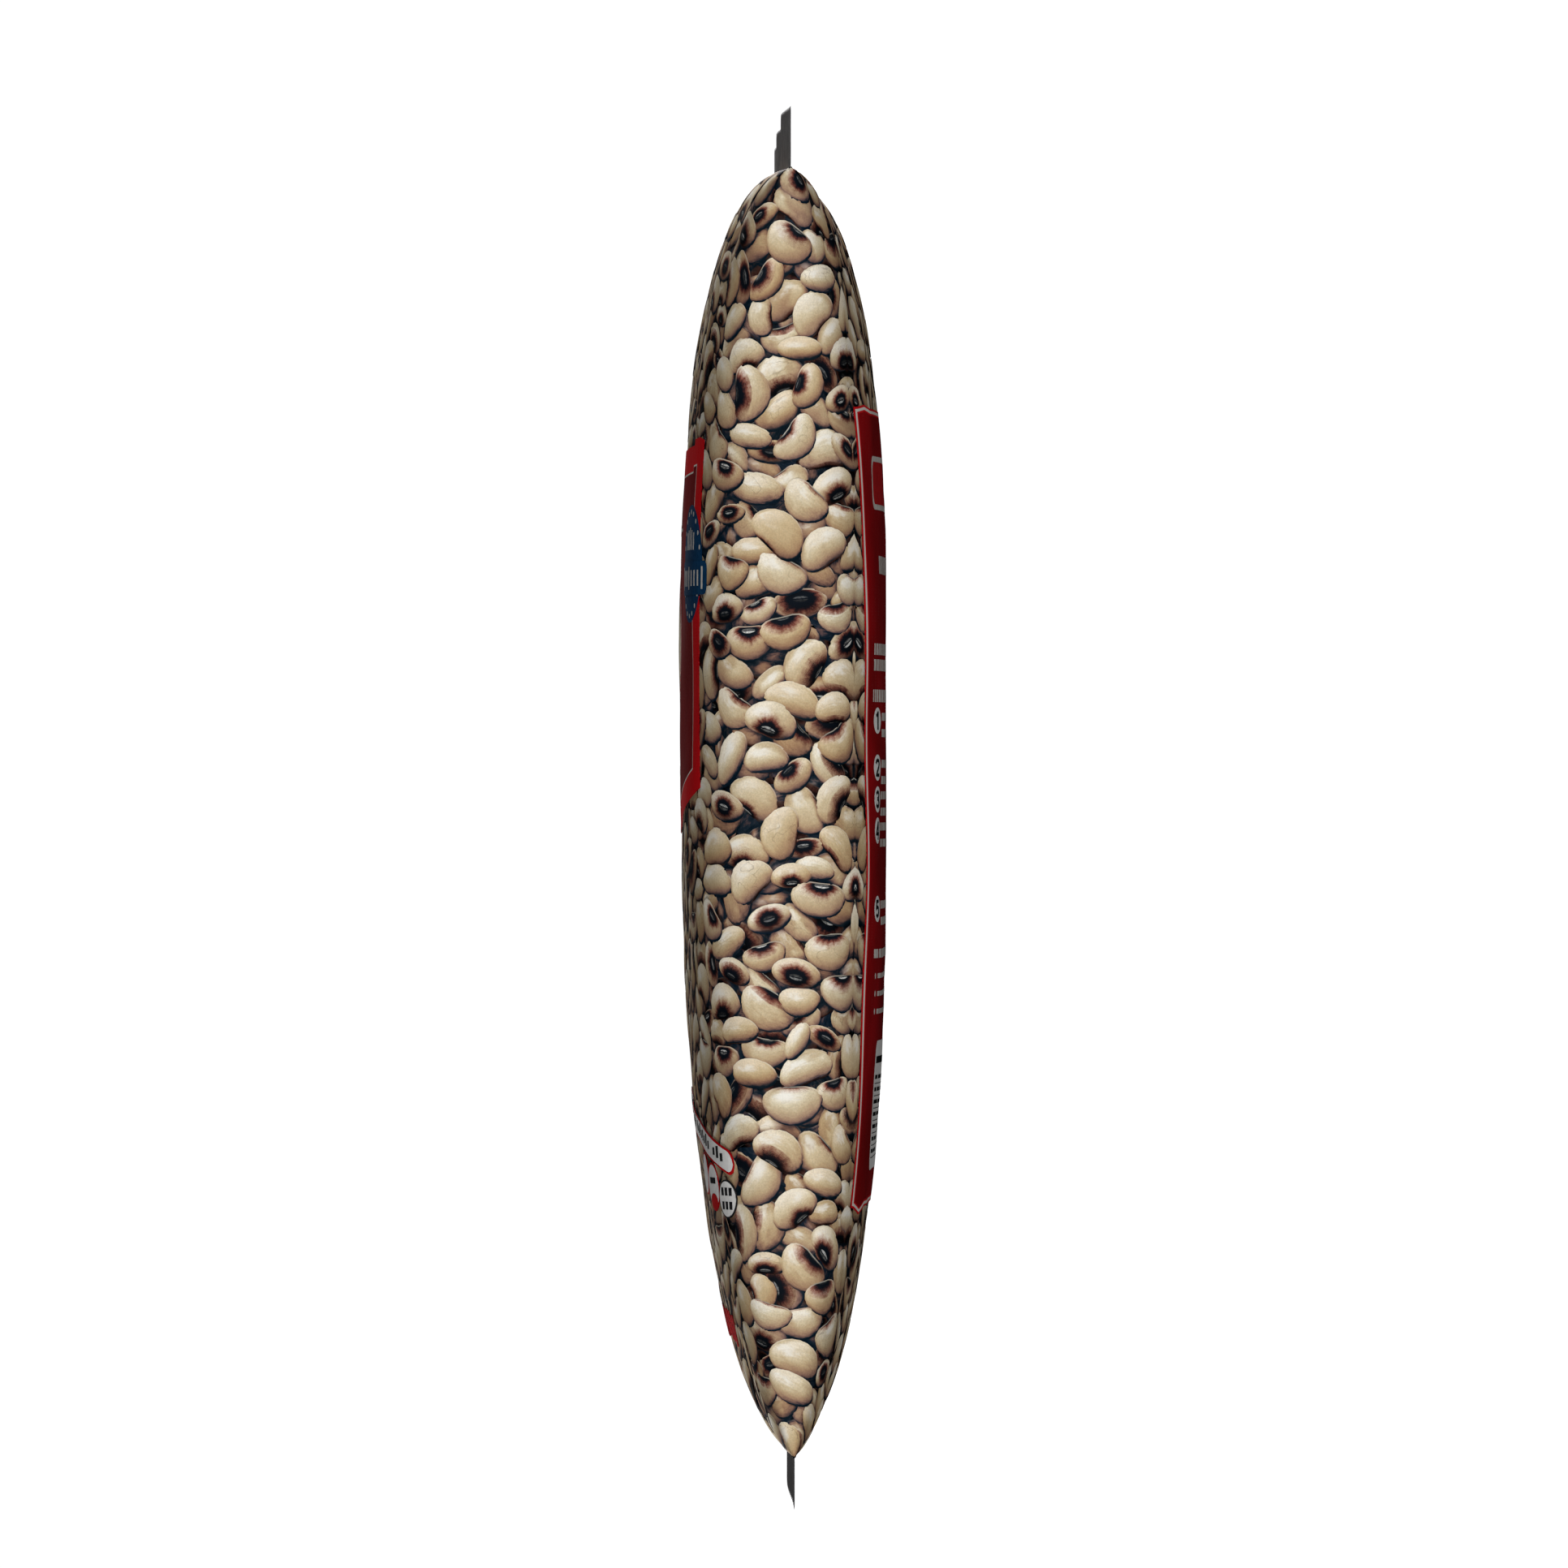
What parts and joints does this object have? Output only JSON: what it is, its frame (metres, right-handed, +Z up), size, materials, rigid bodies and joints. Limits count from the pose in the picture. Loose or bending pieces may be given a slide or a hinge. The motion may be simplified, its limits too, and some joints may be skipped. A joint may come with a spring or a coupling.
{
  "type": "bag of frozen black-eyed peas",
  "caption": "Filled pillow bag of frozen black-eyed peas in printed film, heat-sealed across both ends and lying on its back.",
  "frame": {"origin": "centre of the footprint, on the surface that the bag lies on", "axes": "+X along the bag's length towards its top seal, +Y across it, +Z up out of its front face; the narrow side in the picture faces -Y"},
  "size_m": [0.28, 0.2, 0.0421],
  "materials": {
    "printed_film": "satin plastic film printed all over with black-eyed peas, with dark red label panels and bare dark grey seals"
  },
  "bodies": {
    "root": {"bag": "printed_film"}
  },
  "joints": []
}
